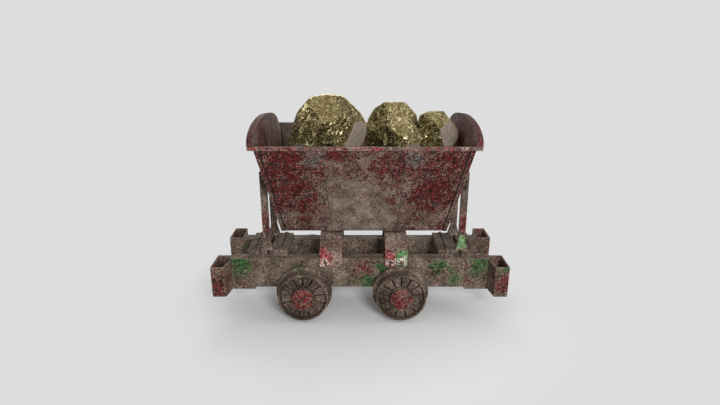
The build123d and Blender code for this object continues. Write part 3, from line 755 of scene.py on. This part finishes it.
step = (np.arange(stone_count) * len(unit))[:, None, None]
stone_faces = (stone_quads[None] + step).reshape(-1, 4).tolist()
stone_faces += (stone_top[None] + step).reshape(-1, 3).tolist()
stone_faces += (stone_base[None] + step).reshape(-1, 3).tolist()
rubble = add_piece(
    "ore_rubble", stones.reshape(-1, 3), np.array(stone_faces, dtype=object), ore_material, "skip"
)

# --- boulders -------------------------------------------------------------------------------
# Four quarried lumps. Most faces carry a crust of native gold, crumpled like foil, and some
# are clean breaks through grey-brown stone.

# metres: the crust's folds, its lumps, the ragged border of a break, and the stone's grain
fold_size = 0.030
lump_size = 0.06
ragged_size = 0.03
grain_size = 0.012
# a polished fold gives sharp glints, and broken stone none
crust_metal, crust_rough, stone_rough = 0.88, 0.30, 0.85
fold_depth = 0.009

gold = bpy.data.materials.new("native_gold_crust_on_stone_with_painted_shade")
gold.use_nodes = True
gold_tree = gold.node_tree
gold_tree.nodes.clear()
gold_at = node(gold_tree, "TexCoord").outputs["Object"]
# wrinkles about half a fold apart: the lines where a wandering noise passes a half
fold = node(
    gold_tree,
    "TexNoise",
    {"Vector": gold_at, "Scale": 1 / fold_size, "Detail": 5.0, "Roughness": 0.62, "Distortion": 1.8},
)
fold = node(gold_tree, "Math", {0: fold, 1: 0.5}, operation="SUBTRACT")
fold = node(gold_tree, "Math", {0: fold}, operation="ABSOLUTE")
fold = node(gold_tree, "MapRange", {"Value": fold, "From Min": 0.0, "From Max": 0.13})
lump = node(
    gold_tree, "TexNoise", {"Vector": gold_at, "Scale": 1 / lump_size, "Detail": 5.0, "Roughness": 0.65}
)
depth = node(gold_tree, "Math", {0: fold, 1: lump}, operation="MULTIPLY")
# the creases stay a little above the darkest tone, and the crust is drawn darker where it is marked thin:
# painted shade on faces turned from the lights
depth = node(gold_tree, "Math", {0: depth, 1: 0.03}, operation="ADD")
thin_crust_and_shade = node(gold_tree, "Attribute", attribute_name="thin_crust_and_shade")
depth = node(gold_tree, "Math", {0: thin_crust_and_shade.outputs["Fac"], 1: -0.26, 2: depth}, operation="MULTIPLY_ADD")
# crust colour from dark creases to pale gold: the dark creases are painted shade
gold_ramp = node(gold_tree, "ValToRGB", {"Fac": depth})
gold_ramp.color_ramp.elements[0].color = linear("#241d0c")
gold_ramp.color_ramp.elements[1].color = linear("#fff6cc")
gold_ramp.color_ramp.elements[1].position = 0.72
gold_ramp.color_ramp.elements.new(0.12).color = linear("#8f7e4c")
gold_ramp.color_ramp.elements.new(0.32).color = linear("#dccb94")
# clean stone where the broken face attribute says so, with a ragged border
broken = node(gold_tree, "Attribute", attribute_name="broken")
ragged = node(
    gold_tree, "TexNoise", {"Vector": gold_at, "Scale": 1 / ragged_size, "Detail": 6.0, "Roughness": 0.7}
)
ragged = node(gold_tree, "Math", {0: broken.outputs["Fac"], 1: ragged}, operation="ADD")
stone_mask = node(
    gold_tree,
    "MapRange",
    {"Value": ragged, "From Min": 0.97, "From Max": 1.03},
    interpolation_type="SMOOTHSTEP",
)
grain = node(
    gold_tree, "TexNoise", {"Vector": gold_at, "Scale": 1 / grain_size, "Detail": 5.0, "Roughness": 0.7}
)
grain_tone = node(gold_tree, "MapRange", {"Value": grain, "From Min": 0.34, "From Max": 0.66})
stone_colour = node(
    gold_tree, "Mix", {0: grain_tone, 6: linear("#5e5248"), 7: linear("#93867a")}, data_type="RGBA"
)
rock_colour = node(
    gold_tree,
    "Mix",
    {0: stone_mask, 6: gold_ramp, 7: stone_colour.outputs[2]},
    data_type="RGBA",
)
metal_share = node(gold_tree, "MapRange", {"Value": stone_mask, "To Min": crust_metal, "To Max": 0.0})
rock_rough = node(
    gold_tree, "MapRange", {"Value": stone_mask, "To Min": crust_rough, "To Max": stone_rough}
)
crust_height = node(gold_tree, "Math", {0: fold, 1: 1.2, 2: lump}, operation="MULTIPLY_ADD")
rock_height = node(gold_tree, "Mix", {0: stone_mask, 2: crust_height, 3: grain})
rock_bump = node(gold_tree, "Bump", {"Height": rock_height, "Strength": 1.0, "Distance": fold_depth})
rock_shader = node(
    gold_tree,
    "BsdfPrincipled",
    {
        "Base Color": rock_colour.outputs[2],
        "Metallic": metal_share,
        "Roughness": rock_rough,
        "Normal": rock_bump,
    },
)
node(gold_tree, "OutputMaterial", {"Surface": rock_shader})

# higher is crisper: at 80 the edges between faces are rounded over a few millimetres
facet_sharpness = 80
# waves of 25 to 90 mm, whose mean height is taken off, as a share of the distance from centre
wave_count = 40
shortest_wave, longest_wave = 0.025, 0.09
mean_swell = 0.64
wave_share = 0.12
# a face whose normal leans further left than this, in x, is marked thinly crusted and drawn darker: painted
# shade on the side turned from the lights
shade_left_lean = -0.5
globe_points, globe_quads, globe_top, globe_base = globe(150, 220)
globe_faces = np.array(globe_quads.tolist() + globe_top.tolist() + globe_base.tolist(), dtype=object)


def boulder(name, centre, outline, breaks, depth_half, seed):
    """Broken lump inside a set of flat faces.

    Along each unit direction n the surface is at the soft least of d / (n . m) over the faces,
    m being a face's outward normal and d its distance from the centre: the sum of its inverse
    to the power facet_sharpness, to the power -1 / facet_sharpness. outline gives the faces
    seen edge-on from the front, each through the camera's place and two neighbouring corners
    (across, up) in metres. breaks are the others: normal, distance, and 1 where the face is
    bare stone or less than 0 where its crust is thin and drawn darker, as painted shade. Outline
    faces that lean left have that thin crust: painted shade on the side turned from the lights.
    Seeded waves roughen the surface by 1 to 2 mm either way, and a clean break by a third of
    that. depth_half is how far it may reach in front of and behind its centre.
    """
    up = np.array([0.0, sin(camera_elevation), cos(camera_elevation)])
    side = np.array([1.0, 0.0, 0.0])
    corner = np.array(outline)
    corner = corner[:, :1] * side + corner[:, 1:] * up
    stand = np.array(camera.location) - np.array(centre)
    faces = np.cross(corner - stand, np.roll(corner, -1, axis=0) - stand)
    faces /= np.linalg.norm(faces, axis=1, keepdims=True)
    away = np.sum(faces * corner, axis=1)
    faces *= np.sign(away)[:, None]
    away = np.abs(away)
    stone_or_shade = np.where(faces[:, 0] < shade_left_lean, -1.0, 0.0)
    others = np.array([face for face, _, _ in breaks], float)
    others /= np.linalg.norm(others, axis=1, keepdims=True)
    faces = np.vstack([faces, others])
    away = np.concatenate([away, [far for _, far, _ in breaks]])
    stone_or_shade = np.concatenate([stone_or_shade, [stone for _, _, stone in breaks]])
    toward = np.maximum(globe_points @ faces.T, 1e-6)
    inverse = toward / away
    share = inverse**facet_sharpness
    reach = share.sum(axis=1) ** (-1 / facet_sharpness)
    stone_or_shade_share = (share @ stone_or_shade) / share.sum(axis=1)
    broken_now = np.clip(stone_or_shade_share, 0, 1)
    waves = np.random.default_rng(seed)
    direction = waves.normal(size=(wave_count, 3))
    direction /= np.linalg.norm(direction, axis=1, keepdims=True)
    length = waves.uniform(shortest_wave, longest_wave, wave_count)
    start = waves.uniform(0, 2 * pi, wave_count)
    surface = globe_points * reach[:, None]
    swell = np.abs(np.sin(surface @ direction.T * (2 * pi / length) + start)).mean(axis=1)
    relief = wave_share * (swell - mean_swell) * (1 - 0.7 * broken_now)
    surface = surface * (1 + relief[:, None])
    surface[:, 1] = np.clip(surface[:, 1], -depth_half, depth_half)
    surface[:, 2] = np.minimum(surface[:, 2], cad_box[1][2] - 0.001 - centre[2])
    piece = add_piece(name + "_crust", surface + np.array(centre), globe_faces, gold, "skip")
    mark = piece.data.attributes.new("broken", "FLOAT", "POINT")
    mark.data.foreach_set("value", broken_now.astype(np.float32))
    mark = piece.data.attributes.new("thin_crust_and_shade", "FLOAT", "POINT")
    mark.data.foreach_set("value", np.clip(-stone_or_shade_share, 0, 1).astype(np.float32))
    for face in piece.data.polygons:
        face.use_smooth = True
    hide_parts(name)


boulder(
    "boulder_large",
    (-0.219, -0.020, 1.258),
    [
        (-0.259, -0.087),
        (-0.230, 0.012),
        (-0.193, 0.111),
        (-0.111, 0.206),
        (-0.012, 0.228),
        (0.166, 0.208),
        (0.223, 0.103),
        (0.265, 0.062),
        (0.266, -0.010),
        (0.236, -0.105),
        (0.12, -0.24),
        (-0.16, -0.24),
    ],
    [
        ((0.0, 0.0, 1.0), 0.2275, 0),
        ((0.12, -0.74, 0.66), 0.200, 0),
        ((-0.42, -0.86, 0.36), 0.208, -0.55),
        ((-0.80, -0.52, 0.20), 0.226, -1),
        ((-0.16, -0.98, -0.12), 0.200, -0.55),
        ((0.36, -0.92, 0.12), 0.203, -0.40),
        ((0.70, -0.70, -0.10), 0.222, 1),
        ((-0.22, -0.74, -0.64), 0.204, 1),
        ((0.60, -0.40, 0.70), 0.214, -0.35),
        ((-0.40, 0.75, 0.50), 0.190, 1),
        ((0.45, 0.80, 0.30), 0.195, 0),
        ((0.0, 0.85, -0.50), 0.200, 0),
    ],
    0.225,
    5,
)
boulder(
    "boulder_middle",
    (0.214, 0.092, 1.262),
    [
        (-0.163, -0.127),
        (-0.159, 0.043),
        (-0.118, 0.111),
        (-0.050, 0.157),
        (0.093, 0.157),
        (0.172, 0.070),
        (0.185, -0.040),
        (0.100, -0.160),
        (-0.100, -0.170),
    ],
    [
        ((-0.45, -0.80, 0.42), 0.140, -0.4),
        ((0.15, -0.80, 0.58), 0.134, 0),
        ((0.65, -0.70, 0.30), 0.140, 0),
        ((-0.20, -0.97, -0.10), 0.138, -0.5),
        ((0.10, 0.80, 0.55), 0.135, 1),
        ((-0.60, 0.70, 0.10), 0.140, 0),
        ((0.60, 0.75, -0.10), 0.140, 0),
    ],
    0.148,
    6,
)
boulder(
    "boulder_front",
    (0.268, -0.176, 1.208),
    [
        (-0.100, -0.100),
        (-0.124, 0.000),
        (-0.110, 0.085),
        (-0.060, 0.145),
        (0.030, 0.150),
        (0.078, 0.105),
        (0.116, 0.020),
        (0.108, -0.060),
        (0.070, -0.115),
        (-0.050, -0.120),
    ],
    [
        ((-0.15, -0.70, 0.70), 0.112, 0),
        ((0.55, -0.72, 0.40), 0.112, 0),
        ((-0.60, -0.76, 0.20), 0.112, -0.9),
        ((0.05, -0.99, 0.05), 0.108, -0.45),
        ((0.30, -0.85, -0.45), 0.104, 1),
        ((0.10, 0.80, 0.50), 0.100, 0),
        ((-0.10, 0.90, -0.30), 0.100, 0),
    ],
    0.114,
    7,
)
boulder(
    "boulder_right",
    (0.509, 0.006, 1.230),
    [
        (-0.130, -0.080),
        (-0.126, 0.061),
        (-0.109, 0.114),
        (-0.051, 0.140),
        (0.049, 0.140),
        (0.095, 0.081),
        (0.142, 0.021),
        (0.145, -0.039),
        (0.122, -0.080),
        (0.060, -0.140),
        (-0.080, -0.140),
    ],
    [
        ((-0.40, -0.82, 0.42), 0.130, -0.5),
        ((0.05, -0.72, 0.70), 0.126, 0),
        ((0.48, -0.86, 0.12), 0.120, 1),
        ((0.75, -0.40, 0.50), 0.134, 0),
        ((-0.15, -0.98, -0.05), 0.128, -0.4),
        ((0.10, 0.80, 0.50), 0.125, 0),
        ((-0.50, 0.80, -0.10), 0.130, 1),
        ((0.55, 0.75, -0.10), 0.128, 0),
    ],
    0.138,
    8,
)
